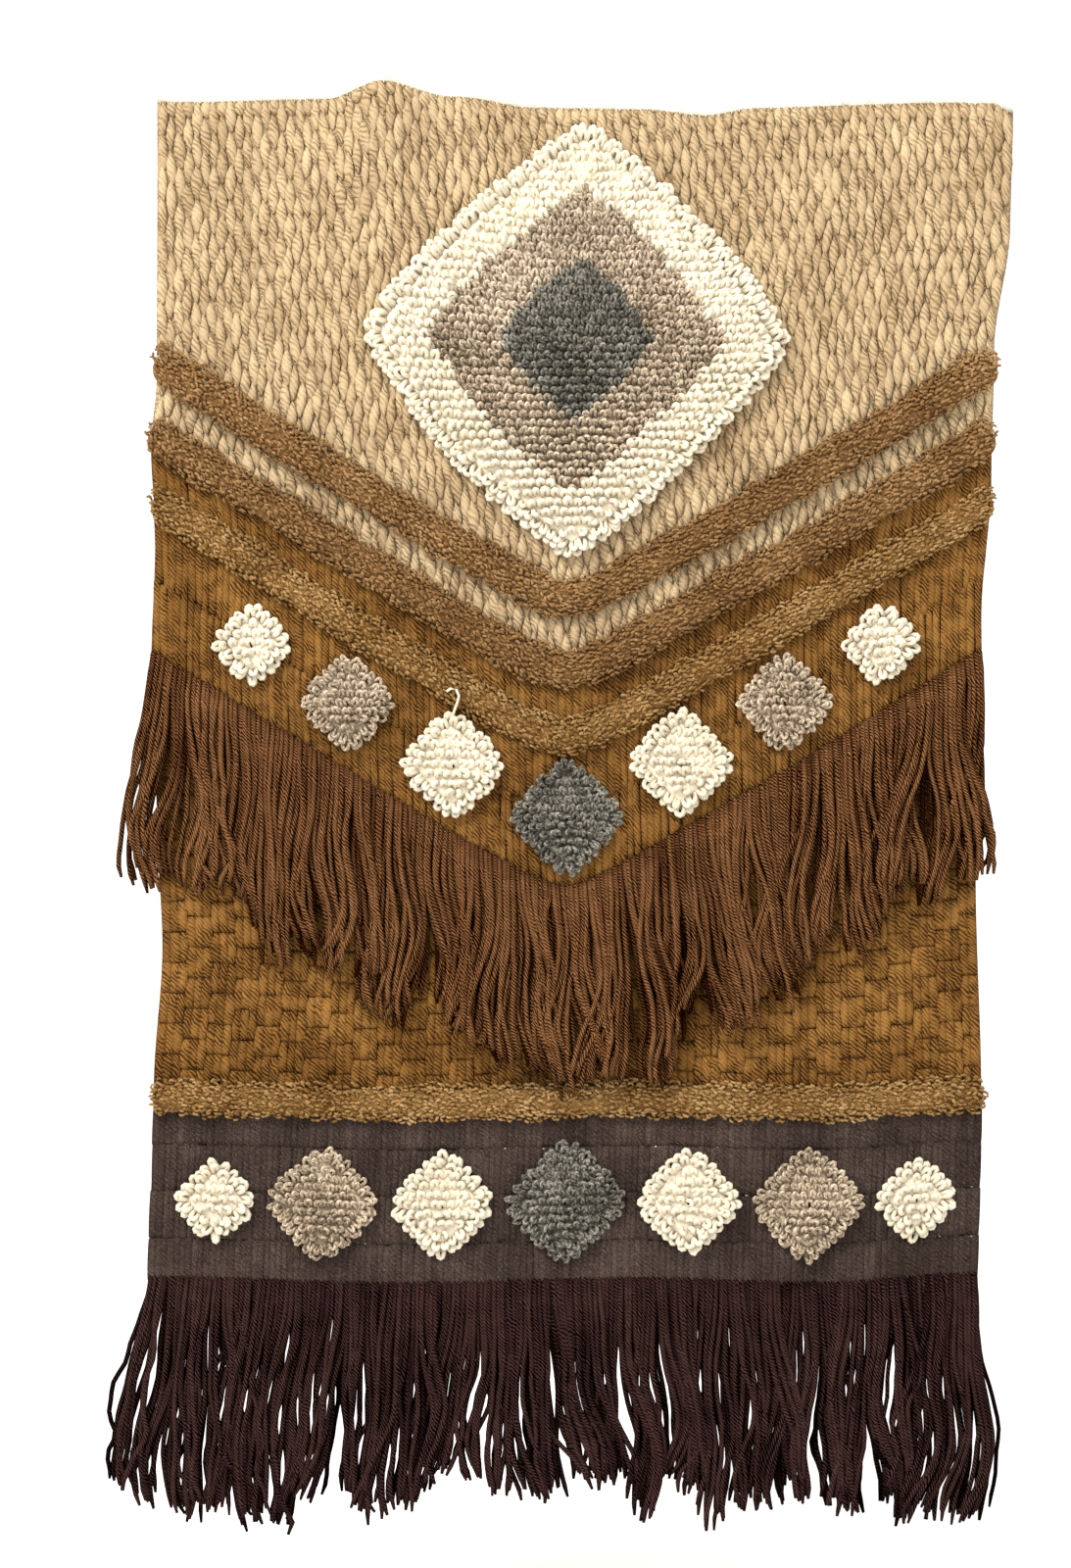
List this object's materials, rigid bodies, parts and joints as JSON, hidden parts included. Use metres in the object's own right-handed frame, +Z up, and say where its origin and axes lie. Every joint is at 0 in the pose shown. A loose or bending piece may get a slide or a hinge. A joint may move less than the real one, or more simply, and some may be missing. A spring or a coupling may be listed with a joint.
{
  "type": "rya wall hanging",
  "caption": "Needlework wall hanging with looped pile lozenges, cut pile bands, a yarn fringe across the middle and a long fringe at the foot.",
  "frame": {"origin": "middle of the cloth's top edge, on the plane that its back hangs against", "axes": "+Z up, +X to the viewer's right as the hanging is seen from its front, +Y from the front to the back"},
  "size_m": [0.6375, 0.0362, 1.0247],
  "materials": {
    "sand_needlework": "matte wool stitches",
    "ochre_needlework": "matte wool stitches",
    "dark_needlework": "matte wool stitches",
    "cotton_canvas": "matte cotton canvas",
    "golden_pile": "matte cut wool pile",
    "light_golden_pile": "matte cut wool pile",
    "cream_loops": "matte looped wool pile",
    "taupe_loops": "matte marled looped wool pile",
    "charcoal_loops": "matte marled looped wool pile",
    "brown_fringe_yarn": "matte twisted wool yarn",
    "dark_fringe_yarn": "matte twisted wool yarn"
  },
  "bodies": {
    "root": {"panel": "sand_needlework", "pile_band_upper": "golden_pile", "pile_band_middle": "golden_pile", "pile_band_lower": "light_golden_pile", "pile_band_base": "light_golden_pile", "lozenge_cream": "cream_loops", "lozenge_taupe": "taupe_loops", "lozenge_charcoal": "charcoal_loops", "row_lozenge_1": "cream_loops", "row_lozenge_2": "taupe_loops", "row_lozenge_3": "cream_loops", "row_lozenge_4": "charcoal_loops", "row_lozenge_5": "cream_loops", "row_lozenge_6": "taupe_loops", "row_lozenge_7": "cream_loops", "border_lozenge_1": "cream_loops", "border_lozenge_2": "taupe_loops", "border_lozenge_3": "cream_loops", "border_lozenge_4": "charcoal_loops", "border_lozenge_5": "cream_loops", "border_lozenge_6": "taupe_loops", "border_lozenge_7": "cream_loops", "brown_fringe": "brown_fringe_yarn", "dark_fringe": "dark_fringe_yarn"}
  },
  "joints": []
}
